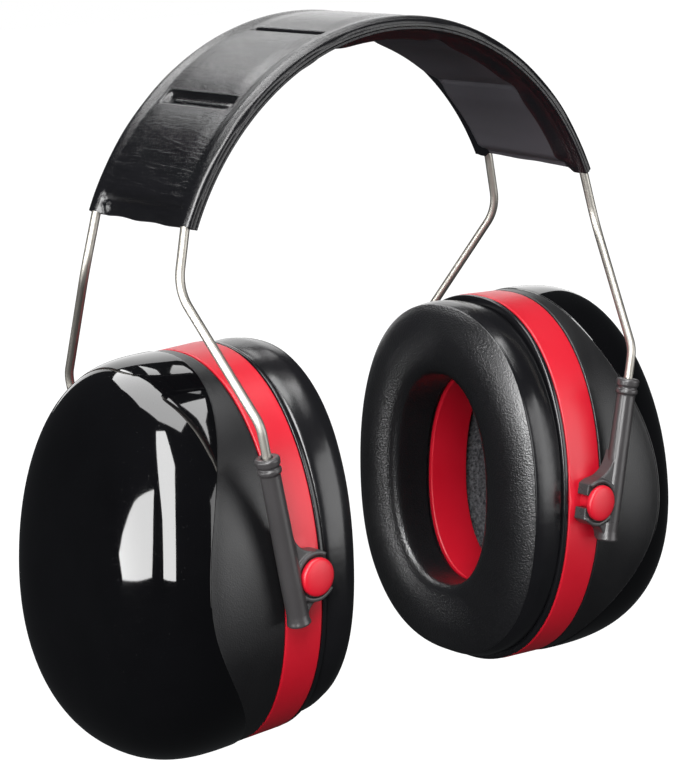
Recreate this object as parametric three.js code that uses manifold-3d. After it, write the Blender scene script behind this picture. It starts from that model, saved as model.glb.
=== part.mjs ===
// Hearing protection earmuffs: two oval cups on a padded headband of two spring wires.
// Millimetres, +Z up. The origin is the middle of the headband lining, where it rests on
// the crown of the head. +X is the right cup, -X the left cup, and -Y the front.
import * as THREE from "three";
import { mergeVertices } from "three/addons/utils/BufferGeometryUtils.js";
import Module from "manifold-3d";

const wasm = await Module();
wasm.setup();

const degrees = Math.PI / 180;
const gap = 0.3; // between pieces that touch

// ---- Driving dimensions ----

// Headband sleeve: an arc over the head, with its middle below the crown.
const liningRadius = 75.3;
const coverRadius = 81.7;
const ridgeRadius = 82.6; // the cover stands up over the wires
const sleeveHalfAngle = 66.2 * degrees;
const sleeveSteps = 35; // odd, so that one flat facet lies level on the crown
const sleeveSideY = 23.4; // the outside of the cover's upright sides
const sleeveHalfWidth = 23.9; // to the edge of the flanges
const foilThickness = 0.6;
const padHalfWidth = 17;
const weldRadius = 79.4; // the cover and the lining meet here, just below the wires
const weldGap = 0.15; // from there to each of them
const weldAngles = [-41.5, -15.3, 15.3, 41.5].map((angle) => angle * degrees);
const weldSlotWidth = 3;
const weldSlotLength = 31;

// Spring wires, one at each long edge of the sleeve.
const wireRadius = 1.3;
const wireArchRadius = 80.7;
const wireArchY = 20.7;
const wireSides = 8;
const upperBend = new THREE.Vector3(78, 21.9, -60);
const upperBendRadius = 16;
const lowerBendRadius = 9;
const lowerBendHeight = 46.2; // along the arm, above the pivot
const wireEndHeight = -0.5; // along the arm, level with the pivot

// Cup: an oval belt ring with a domed shell outside it and a cushion inside it.
const cupX = 54;
const cupZ = -138.4;
const cupTilt = 2.64 * degrees; // the top leans outboard
const cupSegments = 24;
const beltHalfWidth = 41.2;
const beltHalfHeight = 56.9;
const beltHalfDepth = 6.35;
const beltExponent = 2.2;
const beltTaper = -0.036; // the outline narrows towards the top
const beltWall = 2.4;

const shellDepth = 47.57;
const shellRoundness = 3.54;
const shellExponent = 2.12;
const shellTaper = -0.167;
const shellFlareWidth = 0.097;
const shellFlareHeight = 0.009;
const shellLift = 1.14;
const shellLean = -0.1; // the dome is deeper at the bottom
const shellWall = 2.2;

const cushionDepth = 23.1;
const cushionRoundness = 4.72;
const cushionExponent = 2.3;
const cushionWidthScale = 0.996; // of the belt's outline
const cushionHeightScale = 0.968;
const cushionLift = 1.3;
const cushionSkin = 1;
const earHalfWidth = 20;
const earHalfHeight = 32.5;

// Arms: a tube that slides on the wire, with an open clip round the pivot stud.
const armLean = 11 * degrees;
const armTubeX = 7.15;
const armTubeY = 45.3;
const armTubeRadius = 2.9;
const armBoreRadius = 1.9;
const armNeckRadius = 1.5;
const armBottom = -11.7;
const armTop = 37.3;
const clipInnerY = 42.3;
const clipOuterY = 46.6;
const clipRadius = 7.1;
const clipBore = 3.15;
const clipSlotHalf = 1.9;
const clipCutX = -4.8;

// Pivot studs.
const studHeadRadius = 5.35;
const studHeadBottom = 47.05;
const studHeadTop = 49.3;
const studNeckRadius = 2.8;
const studPegRadius = 1.6;

// ---- Materials ----

const finishes = {
  glossBlack: { color: 0x08080a, roughness: 0.18, metalness: 0 },
  innerBlack: { color: 0x141416, roughness: 0.6, metalness: 0 },
  red: { color: 0xc8102e, roughness: 0.38, metalness: 0 },
  armGrey: { color: 0x2a2a2c, roughness: 0.45, metalness: 0 },
  steel: { color: 0xb9b6b0, roughness: 0.25, metalness: 1 },
  vinyl: { color: 0x0f0f11, roughness: 0.35, metalness: 0 },
  liningVinyl: { color: 0x17171a, roughness: 0.55, metalness: 0 },
  cushionSkin: { color: 0x17171a, roughness: 0.42, metalness: 0 },
  paleFoam: { color: 0xcfc9bb, roughness: 0.95, metalness: 0 },
  greyFoam: { color: 0x54565a, roughness: 0.95, metalness: 0 },
};

function piece(name, geometry, finish) {
  const mesh = new THREE.Mesh(geometry, new THREE.MeshStandardMaterial(finishes[finish]));
  mesh.name = name;
  return mesh;
}

// ---- Geometry helpers ----

// Keeps only position, merges shared vertices and drops the empty triangles at a pole.
function closed(geometry) {
  geometry.deleteAttribute("normal");
  geometry.deleteAttribute("uv");
  const merged = mergeVertices(geometry, 1e-3);
  const corners = merged.index.array;
  const kept = [];
  for (let i = 0; i < corners.length; i += 3) {
    const [a, b, c] = [corners[i], corners[i + 1], corners[i + 2]];
    if (a !== b && b !== c && c !== a) kept.push(a, b, c);
  }
  merged.setIndex(kept);
  return merged;
}

function toSolid(geometry) {
  const merged = closed(geometry);
  return new wasm.Manifold(
    new wasm.Mesh({
      numProp: 3,
      vertProperties: merged.attributes.position.array,
      triVerts: new Uint32Array(merged.index.array),
    }),
  );
}

function fromSolid(solid) {
  const mesh = solid.getMesh();
  const geometry = new THREE.BufferGeometry();
  geometry.setAttribute("position", new THREE.BufferAttribute(mesh.vertProperties, 3));
  geometry.setIndex(new THREE.BufferAttribute(mesh.triVerts, 1));
  geometry.computeVertexNormals();
  return geometry;
}

// A turned shape round the Z axis, from [radius, height] pairs.
function turnedZ(profile, segments) {
  const points = profile.map(([radius, height]) => new THREE.Vector2(radius, height));
  return new THREE.LatheGeometry(points, segments).rotateX(90 * degrees);
}

// A turned shape round the Y axis, from [radius, distance along Y] pairs.
function turnedY(profile, segments) {
  const points = profile.map(([radius, along]) => new THREE.Vector2(radius, along));
  return new THREE.LatheGeometry(points, segments);
}

// A curve that visits each given point in turn, with a step of an extrusion at each.
class Waypoints extends THREE.Curve {
  constructor(points) {
    super();
    this.points = points;
  }
  getPointAt(u, target = new THREE.Vector3()) {
    const place = u * (this.points.length - 1);
    const before = Math.min(Math.floor(place + 1e-9), this.points.length - 2);
    return target.lerpVectors(this.points[before], this.points[before + 1], place - before);
  }
  getTangentAt(u, target = new THREE.Vector3()) {
    const last = this.points.length - 1;
    const place = Math.round(u * last);
    const ahead = this.points[Math.min(place + 1, last)];
    const behind = this.points[Math.max(place - 1, 0)];
    return target.subVectors(ahead, behind).normalize();
  }
}

function extrudeAlong(shape, points) {
  const options = { steps: points.length - 1, extrudePath: new Waypoints(points) };
  return new THREE.ExtrudeGeometry(shape, options);
}

// A round bend between two straight runs: points on a circle tangent to both.
function bendPoints(before, corner, after, radius, count) {
  const toBefore = before.clone().sub(corner).normalize();
  const toAfter = after.clone().sub(corner).normalize();
  const halfOpening = toBefore.angleTo(toAfter) / 2;
  const start = corner.clone().addScaledVector(toBefore, radius / Math.tan(halfOpening));
  const end = corner.clone().addScaledVector(toAfter, radius / Math.tan(halfOpening));
  const middle = toBefore.clone().add(toAfter).normalize();
  const centre = corner.clone().addScaledVector(middle, radius / Math.sin(halfOpening));
  const turn = Math.PI - 2 * halfOpening;
  const across = start.clone().sub(centre);
  const along = end.clone().sub(centre).addScaledVector(across, -Math.cos(turn));
  along.setLength(radius);
  return Array.from({ length: count }, (_, i) => {
    const angle = (turn * i) / (count - 1);
    const point = centre.clone().addScaledVector(across, Math.cos(angle));
    return point.addScaledVector(along, Math.sin(angle));
  });
}

// ---- Headband sleeve ----

const halfStep = sleeveHalfAngle / sleeveSteps;
const archCentreZ = -liningRadius * Math.cos(halfStep); // puts the crown facet at Z = 0

function archPoint(radius, y, angle) {
  const height = archCentreZ + radius * Math.cos(angle);
  return new THREE.Vector3(radius * Math.sin(angle), y, height);
}

// An extrusion over the arch of an outline given as [distance from the middle, radius].
// The path is a small arc, whose own radius is taken off again, so that an outline's
// radius is measured from the middle of the arch.
function archStrip(outline) {
  const pathRadius = 1;
  const shape = new THREE.Shape(outline.map(([y, radius]) => new THREE.Vector2(y, radius)));
  const path = Array.from({ length: sleeveSteps + 1 }, (_, i) =>
    archPoint(pathRadius, 0, sleeveHalfAngle * (1 - (2 * i) / sleeveSteps)),
  );
  const geometry = extrudeAlong(shape, path);
  const position = geometry.attributes.position;
  const point = new THREE.Vector3();
  const centre = new THREE.Vector3(0, 0, archCentreZ);
  for (let i = 0; i < position.count; i++) {
    point.fromBufferAttribute(position, i).sub(centre);
    const inPlane = Math.hypot(point.x, point.z);
    point.x *= (inPlane - pathRadius) / inPlane;
    point.z *= (inPlane - pathRadius) / inPlane;
    point.add(centre);
    position.setXYZ(i, point.x, point.y, point.z);
  }
  return geometry;
}

// Mirrors the half of an outline with y > 0, so that it is the same on both long edges.
function bothEdges(outerHalf, innerHalf) {
  const mirrored = (half) => half.map(([y, radius]) => [-y, radius]).reverse();
  return [...mirrored(outerHalf), ...outerHalf, ...innerHalf, ...mirrored(innerHalf)];
}

// Over the pad, up over each wire, down its outer side and out along a narrow flange.
function headbandCover() {
  const flange = weldRadius + weldGap;
  const innerSideY = sleeveSideY - foilThickness;
  const top = [
    [wireArchY - 1.9, coverRadius],
    [wireArchY - 0.8, ridgeRadius - 0.1],
    [wireArchY + 0.7, ridgeRadius],
    [sleeveSideY - 0.6, ridgeRadius - 0.7],
    [sleeveSideY, ridgeRadius - 1.7],
    [sleeveSideY, flange + foilThickness],
    [sleeveHalfWidth, flange + foilThickness],
  ];
  const under = [
    [sleeveHalfWidth, flange],
    [innerSideY, flange],
    [innerSideY, ridgeRadius - 1.8],
    [innerSideY - 0.4, ridgeRadius - 1.1],
    [wireArchY + 0.5, ridgeRadius - 0.42],
    [wireArchY - 0.7, ridgeRadius - 0.42],
    [wireArchY - 1.7, coverRadius - foilThickness],
  ];
  return archStrip(bothEdges(top, under));
}

// Level across the pad, then up beside it and out to the flanges under the wires.
function headbandLining() {
  const flange = weldRadius - weldGap;
  const levelHalfWidth = padHalfWidth - 0.4;
  const risenY = wireArchY - 0.6;
  const risenDrop = 0.35; // below the flange, to clear the wire
  const top = [
    [levelHalfWidth, liningRadius + foilThickness + 0.1],
    [risenY, flange - risenDrop],
    [sleeveSideY - 0.9, flange],
    [sleeveHalfWidth, flange],
  ];
  const under = [
    [sleeveHalfWidth, flange - foilThickness],
    [sleeveSideY - 0.9, flange - foilThickness - 0.1],
    [risenY + 0.2, flange - risenDrop - foilThickness],
    [levelHalfWidth, liningRadius],
  ];
  return archStrip(bothEdges(top, under));
}

// The pad inside the sleeve, in one length, cut through at each weld.
function headbandFoam() {
  const low = liningRadius + foilThickness + 0.9;
  const high = coverRadius - foilThickness - gap;
  const slotDepth = 12;
  let foam = toSolid(archStrip(bothEdges([[padHalfWidth, high]], [[padHalfWidth, low]])));
  for (const angle of weldAngles) {
    const slot = new THREE.BoxGeometry(weldSlotWidth, weldSlotLength, slotDepth);
    slot.translate(0, 0, weldRadius).rotateY(angle).translate(0, 0, archCentreZ);
    foam = foam.subtract(toSolid(slot));
  }
  return fromSolid(foam);
}

// ---- Spring wires ----

// A point of the arm's own frame (origin at the pivot, Z along the tube) in the part's frame.
function armToPart(x, y, z) {
  const point = new THREE.Vector3(x, y, z).applyAxisAngle(new THREE.Vector3(0, 1, 0), armLean);
  return point.add(new THREE.Vector3(cupX, 0, cupZ));
}

function rightLegPoints() {
  const end = armToPart(armTubeX, armTubeY, wireEndHeight);
  const lowerBend = armToPart(armTubeX, armTubeY, lowerBendHeight);
  const sleeveEnd = archPoint(wireArchRadius, wireArchY, sleeveHalfAngle);
  return [
    end,
    ...bendPoints(end, lowerBend, upperBend, lowerBendRadius, 5),
    ...bendPoints(lowerBend, upperBend, sleeveEnd, upperBendRadius, 6),
  ];
}

function springWire() {
  const right = rightLegPoints();
  const left = right.map((point) => new THREE.Vector3(-point.x, point.y, point.z)).reverse();
  const arch = Array.from({ length: sleeveSteps + 1 }, (_, i) =>
    archPoint(wireArchRadius, wireArchY, sleeveHalfAngle * (1 - (2 * i) / sleeveSteps)),
  );
  const section = new THREE.Shape();
  for (let i = 0; i < wireSides; i++) {
    const angle = (2 * Math.PI * i) / wireSides;
    const [x, y] = [wireRadius * Math.cos(angle), wireRadius * Math.sin(angle)];
    if (i === 0) section.moveTo(x, y);
    else section.lineTo(x, y);
  }
  return extrudeAlong(section, [...right, ...arch, ...left]);
}

// ---- Cup: oval sections ----

// A lathe round the cup's X axis whose every section is an oval: a superellipse of its own
// size and exponent, narrower towards the top, which may lean along X with height.
function ovalLathe(sections) {
  const profile = sections.map((s) => new THREE.Vector2(s.halfWidth, s.out));
  const geometry = new THREE.LatheGeometry(profile, cupSegments);
  const position = geometry.attributes.position;
  for (let i = 0; i < position.count; i++) {
    const section = sections[i % sections.length];
    const turn = Math.floor(i / sections.length) % cupSegments;
    const angle = (2 * Math.PI * turn) / cupSegments;
    const power = 2 / section.exponent;
    const [c, s] = [Math.cos(angle), Math.sin(angle)];
    const up = section.halfHeight * Math.sign(s) * Math.abs(s) ** power;
    const across = section.halfWidth * Math.sign(c) * Math.abs(c) ** power;
    const narrowed = across * (1 + (section.taper * up) / beltHalfHeight);
    const lifted = up + section.lift;
    position.setXYZ(i, section.out + section.slope * lifted, narrowed, lifted);
  }
  return geometry;
}

function beltSection(out, halfWidth, halfHeight) {
  return {
    out,
    halfWidth,
    halfHeight,
    exponent: beltExponent,
    taper: beltTaper,
    lift: 0,
    slope: 0,
  };
}

// The belt outline moved in by an inset.
function insetSection(out, inset) {
  return beltSection(out, beltHalfWidth - inset, beltHalfHeight - inset);
}

// A section of the dome: depth 0 is its rim on the belt, and depth 1 its pole.
function shellSection(depth, inset) {
  const round = (1 - depth ** shellRoundness) ** (1 / shellRoundness);
  const out = beltHalfDepth + depth * (shellDepth - inset - beltHalfDepth);
  return {
    out,
    halfWidth: (beltHalfWidth - inset) * (1 + shellFlareWidth * depth) * round,
    halfHeight: (beltHalfHeight - inset) * (1 + shellFlareHeight * depth) * round,
    exponent: beltExponent + (shellExponent - beltExponent) * depth,
    taper: beltTaper + (shellTaper - beltTaper) * depth,
    lift: shellLift * depth,
    slope: (shellLean * depth * out) / beltHalfHeight,
  };
}

// The dome's wall at one inset, from its rim to its pole, with the rim at a given place.
function domeWall(rimOut, inset, depths) {
  const sections = depths.map((depth) => shellSection(depth, inset));
  return [{ ...shellSection(0, inset), out: rimOut }, ...sections, shellSection(1, inset)];
}

// A section of the cushion at a distance inboard: depth 0 on the belt, 1 at its front face.
// The slope turns its front face upright in the part's frame, whatever the cup's tilt.
function cushionSection(out, halfWidth, halfHeight) {
  const depth = (-beltHalfDepth - out) / (cushionDepth - beltHalfDepth);
  return {
    out,
    halfWidth,
    halfHeight,
    exponent: beltExponent + (cushionExponent - beltExponent) * depth,
    taper: beltTaper,
    lift: cushionLift * depth,
    slope: -Math.tan(cupTilt) * depth,
  };
}

// The cushion's rounded side at a depth, moved in by an inset.
function cushionSide(depth, inset) {
  const round = (1 - depth ** cushionRoundness) ** (1 / cushionRoundness);
  const halfWidth = beltHalfWidth * cushionWidthScale * round - inset;
  const halfHeight = beltHalfHeight * cushionHeightScale * round - inset;
  const out = -beltHalfDepth - depth * (cushionDepth - beltHalfDepth);
  return cushionSection(out, halfWidth, halfHeight);
}

// ---- Cup: pieces, in the cup's own frame: +X outboard, Z up along the cup ----

function outerShell() {
  const outside = domeWall(beltHalfDepth + gap, 0, [0.3, 0.52, 0.7, 0.84, 0.93, 0.98]);
  const inside = domeWall(beltHalfDepth + gap, shellWall, [0.35, 0.6, 0.8, 0.93]);
  return ovalLathe([...inside.reverse(), ...outside]);
}

function innerShell() {
  const [clearance, wall, rim] = [5.2, 1.8, -4.2];
  const outside = domeWall(rim, clearance, [0, 0.35, 0.62, 0.82, 0.94]);
  const inside = domeWall(rim, clearance + wall, [0, 0.35, 0.62, 0.82, 0.94]);
  return ovalLathe([...inside.reverse(), ...outside]);
}

// Foam in the bottom of the cup, hollowed for the ear.
function foamLiner() {
  const [clearance, rim, bottom] = [7.6, 9.2, 30];
  const [mouthHalfWidth, mouthHalfHeight] = [26, 38];
  const outside = domeWall(rim, clearance, [0.3, 0.62, 0.82, 0.94]);
  const hollow = (out, inset) => beltSection(out, mouthHalfWidth - inset, mouthHalfHeight - inset);
  const inside = [
    beltSection(bottom, 0, 0),
    hollow(bottom, 10),
    hollow(bottom - 4, 4.5),
    hollow(rim + 4, 1.7),
    hollow(rim, 0),
  ];
  return ovalLathe([...inside, ...outside]);
}

// The red belt: an outer strip, a web for the cushion plate, and a sleeve round the ear.
function baseRing() {
  const [webTop, sleeveTop, sleeveWall, sleeveSpace] = [-4.6, 8.5, 1.8, 0.2];
  const sleeve = (out, wall) =>
    beltSection(out, earHalfWidth + sleeveSpace + wall, earHalfHeight + sleeveSpace + wall);
  const start = insetSection(-beltHalfDepth, 0);
  const ring = ovalLathe([
    start,
    insetSection(beltHalfDepth, 0),
    insetSection(beltHalfDepth, beltWall),
    insetSection(webTop, beltWall),
    sleeve(webTop, sleeveWall),
    sleeve(sleeveTop, sleeveWall),
    sleeve(sleeveTop, 0),
    sleeve(-beltHalfDepth, 0),
    start,
  ]);
  const holeRadius = studPegRadius + gap;
  const hole = [
    [0, beltHalfWidth - 2 * beltWall],
    [holeRadius, beltHalfWidth - 2 * beltWall],
    [holeRadius, beltHalfWidth + beltWall],
    [0, beltHalfWidth + beltWall],
  ];
  const rear = toSolid(turnedY(hole, 12));
  return fromSolid(toSolid(ring).subtract(rear).subtract(rear.mirror([0, 1, 0])));
}

// The stiff plate at the cushion's back, which snaps onto the belt.
function cushionPlate() {
  const thickness = 1.25;
  const back = -beltHalfDepth - gap;
  const front = back - thickness;
  const [edge, ear] = [0.4, 1];
  const start = insetSection(front, edge);
  return ovalLathe([
    start,
    insetSection(back, edge),
    beltSection(back, earHalfWidth + ear, earHalfHeight + ear),
    beltSection(front, earHalfWidth + ear, earHalfHeight + ear),
    start,
  ]);
}

const cushionBack = -8.2;
const cushionFaceInner = [23, 35.5]; // half width and half height of the flat face's edges
const cushionFaceOuter = [30.5, 44];
const earEdgeDepth = 3.8; // how far the ear opening's edge rounds over into the face
const earEdgeRound = 0.9;

// A section of the flat front face, which is upright in the part's frame.
function faceSection([halfWidth, halfHeight], inset) {
  const section = cushionSection(-cushionDepth, halfWidth, halfHeight);
  return { ...section, out: -cushionDepth + inset };
}

// A section of the wall of the ear opening.
function earSection(out, inset) {
  return cushionSection(out, earHalfWidth + inset, earHalfHeight + inset);
}

// The skin: round the outside, over the flat front face and down the ear opening.
function cushionCover() {
  const walls = (inset) => [
    earSection(cushionBack, inset),
    earSection(earEdgeDepth - cushionDepth, inset),
    earSection(0.3 * earEdgeDepth - cushionDepth + 0.7 * inset, inset + earEdgeRound),
    faceSection(cushionFaceInner, inset),
    faceSection(cushionFaceOuter, inset),
    cushionSide(0.86, inset),
    cushionSide(0.68, inset),
    cushionSide(0.45, inset),
    { ...cushionSide(0.1, inset), out: cushionBack },
  ];
  const outside = walls(0);
  const inside = walls(cushionSkin).reverse();
  return ovalLathe([...outside, ...inside, outside[0]]);
}

function cushionFoam() {
  const inset = cushionSkin + 0.9;
  const back = cushionBack - 0.4;
  const front = -cushionDepth + inset;
  const edgeRound = 1.2;
  const start = earSection(back, inset);
  return ovalLathe([
    start,
    earSection(front + 2.2, inset),
    cushionSection(front, cushionFaceInner[0] + edgeRound, cushionFaceInner[1] + edgeRound),
    cushionSection(front, cushionFaceOuter[0] - edgeRound, cushionFaceOuter[1] - edgeRound),
    cushionSide(0.83, inset),
    cushionSide(0.65, inset),
    { ...cushionSide(0.15, inset), out: back },
    start,
  ]);
}

// ---- Pivot stud and arm, in the arm's own frame: origin at the pivot, Z along the tube ----

function pivotStud() {
  const pegFoot = beltHalfWidth - beltWall - 1.8;
  return turnedY(
    [
      [0, pegFoot],
      [2.4, pegFoot],
      [2.4, pegFoot + 1.3],
      [studPegRadius, pegFoot + 1.3],
      [studPegRadius, beltHalfWidth + gap],
      [studNeckRadius, beltHalfWidth + gap],
      [studNeckRadius, studHeadBottom],
      [studHeadRadius, studHeadBottom],
      [studHeadRadius, studHeadTop - 0.9],
      [studHeadRadius - 1.2, studHeadTop - 0.2],
      [0, studHeadTop],
    ],
    12,
  );
}

// The clip's outline in X and Z: a ring cut off flat on its inboard side, where a slot leads to
// the bore, with a web that runs into the tube above and below it.
function clipShape() {
  const boreAngle = Math.PI - Math.asin(clipSlotHalf / clipBore);
  const cutAngle = Math.acos(clipCutX / clipRadius);
  const [webTop, webBottom] = [14.5, armBottom + 0.4];
  const tubeSide = armTubeX - armTubeRadius * 0.8;
  const shape = new THREE.Shape();
  shape.moveTo(clipBore * Math.cos(boreAngle), clipSlotHalf);
  shape.absarc(0, 0, clipBore, boreAngle, -boreAngle, true);
  shape.lineTo(clipCutX, -clipSlotHalf);
  shape.absarc(0, 0, clipRadius, -cutAngle, -80 * degrees, false);
  shape.quadraticCurveTo(tubeSide - 0.6, webBottom + 3, tubeSide, webBottom);
  shape.lineTo(armTubeX, webBottom);
  shape.lineTo(armTubeX, webTop);
  shape.lineTo(tubeSide, webTop);
  shape.quadraticCurveTo(tubeSide - 0.6, 8.5, 0, clipRadius);
  shape.absarc(0, 0, clipRadius, 100 * degrees, cutAngle, false);
  shape.lineTo(clipCutX, clipSlotHalf);
  return shape;
}

function slidingArm() {
  const options = { depth: clipOuterY - clipInnerY, bevelEnabled: false, curveSegments: 10 };
  const clip = new THREE.ExtrudeGeometry(clipShape(), options).rotateX(90 * degrees);
  clip.translate(0, clipOuterY, 0);
  const collar = 3.4;
  const tube = turnedZ(
    [
      [0, armBottom],
      [armTubeRadius - 0.5, armBottom],
      [armTubeRadius, armBottom + 0.6],
      [armTubeRadius, armTop - 4.6],
      [collar, armTop - 4.2],
      [collar, armTop - 0.5],
      [collar - 0.5, armTop],
      [0, armTop],
    ],
    10,
  ).translate(armTubeX, armTubeY, 0);
  const neckHeight = 4;
  const bore = turnedZ(
    [
      [0, armBottom + 2.1],
      [armBoreRadius, armBottom + 2.1],
      [armBoreRadius, armTop - neckHeight],
      [armNeckRadius, armTop - neckHeight],
      [armNeckRadius, armTop + 1],
      [0, armTop + 1],
    ],
    10,
  ).translate(armTubeX, armTubeY, 0);
  const pocket = turnedY(
    [
      [0, studHeadBottom - gap],
      [studHeadRadius + gap, studHeadBottom - gap],
      [studHeadRadius + gap, studHeadTop + 1],
      [0, studHeadTop + 1],
    ],
    16,
  );
  const body = toSolid(clip).add(toSolid(tube));
  return fromSolid(body.subtract(toSolid(bore)).subtract(toSolid(pocket)));
}

// The stop on a wire's end, inside the arm's tube: wider than the tube's neck.
function wireEndStop() {
  const radius = 1.6;
  const top = wireEndHeight - gap;
  const bottom = top - 2.5;
  const profile = [
    [0, bottom],
    [radius, bottom],
    [radius, top],
    [0, top],
  ];
  return turnedZ(profile, 8).translate(armTubeX, armTubeY, 0);
}

// ---- Assembly ----

// One whole side, built as the right one. Its +Y arm is called by the second name.
function sideGroup(side, nearName, farName) {
  const group = new THREE.Group();
  const cup = new THREE.Group();
  cup.position.set(cupX, 0, cupZ);
  cup.rotation.y = cupTilt;
  cup.add(
    piece(`${side}_outer_shell`, closed(outerShell()), "glossBlack"),
    piece(`${side}_inner_shell`, closed(innerShell()), "innerBlack"),
    piece(`${side}_base_ring`, baseRing(), "red"),
    piece(`${side}_foam_liner`, closed(foamLiner()), "greyFoam"),
    piece(`${side}_cushion_plate`, closed(cushionPlate()), "innerBlack"),
    piece(`${side}_cushion_foam`, closed(cushionFoam()), "paleFoam"),
    piece(`${side}_cushion_cover`, closed(cushionCover()), "cushionSkin"),
  );
  group.add(cup);
  for (const [name, mirror] of [
    [nearName, -1],
    [farName, 1],
  ]) {
    const studs = new THREE.Group();
    studs.position.set(cupX, 0, cupZ);
    studs.rotation.y = cupTilt;
    studs.scale.y = mirror;
    studs.add(piece(`${side}_${name}_pivot_stud`, closed(pivotStud()), "red"));
    const arm = new THREE.Group();
    arm.position.set(cupX, 0, cupZ);
    arm.rotation.y = armLean;
    arm.scale.y = mirror;
    arm.add(
      piece(`${side}_${name}_arm`, slidingArm(), "armGrey"),
      piece(`${side}_${name}_wire_end_stop`, closed(wireEndStop()), "steel"),
    );
    group.add(studs, arm);
  }
  return group;
}

const earmuffs = new THREE.Group();
const rearWire = piece("rear_wire", closed(springWire()), "steel");
const frontWire = piece("front_wire", closed(springWire()), "steel");
frontWire.scale.y = -1;
const rightSide = sideGroup("right", "front", "rear");
const leftSide = sideGroup("left", "rear", "front");
leftSide.rotation.z = Math.PI;
earmuffs.add(
  piece("headband_cover", closed(headbandCover()), "vinyl"),
  piece("headband_lining", closed(headbandLining()), "liningVinyl"),
  piece("headband_foam", headbandFoam(), "paleFoam"),
  frontWire,
  rearWire,
  rightSide,
  leftSide,
);

export default earmuffs;
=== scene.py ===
import math

import bmesh
import bpy
import numpy as np
from mathutils import Matrix, Vector, noise


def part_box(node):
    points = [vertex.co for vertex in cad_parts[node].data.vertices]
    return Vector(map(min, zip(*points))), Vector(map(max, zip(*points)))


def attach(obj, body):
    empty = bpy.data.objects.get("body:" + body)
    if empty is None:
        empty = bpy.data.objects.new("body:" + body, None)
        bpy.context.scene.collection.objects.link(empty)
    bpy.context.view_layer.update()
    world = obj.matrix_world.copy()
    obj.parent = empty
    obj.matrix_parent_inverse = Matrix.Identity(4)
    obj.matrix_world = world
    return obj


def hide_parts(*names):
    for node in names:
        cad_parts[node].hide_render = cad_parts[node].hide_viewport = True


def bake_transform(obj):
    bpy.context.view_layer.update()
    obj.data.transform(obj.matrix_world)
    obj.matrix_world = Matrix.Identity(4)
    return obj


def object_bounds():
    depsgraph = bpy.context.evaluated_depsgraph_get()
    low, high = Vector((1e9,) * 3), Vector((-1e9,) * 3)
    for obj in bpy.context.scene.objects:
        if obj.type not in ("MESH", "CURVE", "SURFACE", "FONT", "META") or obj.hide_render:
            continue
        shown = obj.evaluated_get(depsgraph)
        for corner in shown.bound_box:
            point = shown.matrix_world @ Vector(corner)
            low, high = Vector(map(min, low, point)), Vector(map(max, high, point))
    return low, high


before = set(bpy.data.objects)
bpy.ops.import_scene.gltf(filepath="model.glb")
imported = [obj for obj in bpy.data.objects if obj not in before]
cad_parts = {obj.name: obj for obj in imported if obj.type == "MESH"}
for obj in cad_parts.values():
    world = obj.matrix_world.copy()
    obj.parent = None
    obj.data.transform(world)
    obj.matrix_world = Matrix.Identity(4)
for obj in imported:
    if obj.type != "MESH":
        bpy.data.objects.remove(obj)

cad_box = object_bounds()

MM = 0.001
SIDES = {"left": -1, "right": 1}
ENDS = {"front": -1, "rear": 1}

# ---- Sizes, in millimetres, as the CAD model has them ----

CUP_TILT = math.radians(2.64)
ARM_LEAN = math.radians(11)

BELT_HALF_WIDTH = 41.2
BELT_HALF_HEIGHT = 56.9
BELT_HALF_DEPTH = 6.35
BELT_EXPONENT = 2.2
BELT_TAPER = -0.036
BELT_WALL = 2.4

SHELL_DEPTH = 47.57
SHELL_ROUNDNESS = 3.54
SHELL_EXPONENT = 2.12
SHELL_TAPER = -0.167
SHELL_FLARE_WIDTH = 0.097
SHELL_FLARE_HEIGHT = 0.009
SHELL_LIFT = 1.14
SHELL_LEAN = -0.1
SHELL_WALL = 2.2
RIM_GAP = 0.3

CUSHION_DEPTH = 23.1
CUSHION_EXPONENT = 2.3
CUSHION_WIDTH_SCALE = 0.996
CUSHION_HEIGHT_SCALE = 0.968
CUSHION_LIFT = 1.3
EAR_HALF_WIDTH = 20
EAR_HALF_HEIGHT = 32.5

LINING_RADIUS = 75.3
COVER_RADIUS = 81.7
RIDGE_RADIUS = 82.35
WELD_RADIUS = 79.4
FOIL = 0.6
SLEEVE_HALF_ANGLE = math.radians(66.2)
SLEEVE_SIDE_Y = 23.4
SLEEVE_HALF_WIDTH = 23.9
SLEEVE_END = COVER_RADIUS * SLEEVE_HALF_ANGLE  # along the cover, from the crown
WELD_BARS = ((math.radians(15.3), 0.9), (math.radians(40.5), 2.0))  # angle and half width
END_TRIM = {"left": 0.0, "right": 1.6}  # between the wires
END_SHIFT = {"left": (1.2, 1.2), "right": (-1.6, 0.9)}  # at the rear and the front edge

WIRE_RADIUS = 1.3
WIRE_ARCH_RADIUS = 80.7
WIRE_ARCH_Y = 20.7
UPPER_BEND = Vector((78, 21.9, -60))
UPPER_BEND_RADIUS = 16
LOWER_BEND_RADIUS = 9
LOWER_BEND_HEIGHT = 46.2
WIRE_END_HEIGHT = -0.5

ARM_TUBE_X = 7.15
ARM_TUBE_Y = 45.3
ARM_BOTTOM = -11.7
ARM_TOP = 37.3
CLIP_INNER_Y = 42.3
CLIP_OUTER_Y = 46.6
CLIP_RADIUS = 7.1
CLIP_BORE = 3.15
CLIP_SLOT_HALF = 1.9
CLIP_CUT_X = -4.8

STUD_HEAD_BOTTOM = 47.05
STUD_HEAD_TOP = 49.3
STUD_EDGE = [(5.05, 0), (5.28, 0.12), (5.36, 0.35), (5.36, 0.95), (5.30, 1.30), (5.13, 1.58)]
STUD_FACE = [(4.85, 1.78), (4.35, 1.92), (3.6, 2.06), (2.4, 2.16), (1.2, 2.22), (0, 2.23)]
STUD_HEAD = STUD_EDGE + STUD_FACE  # radius, and height above the head's underside
STUD_NECK_RADIUS = 2.8

CUP_COLUMNS = 160


# ---- Where things are, from the frame ----


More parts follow.
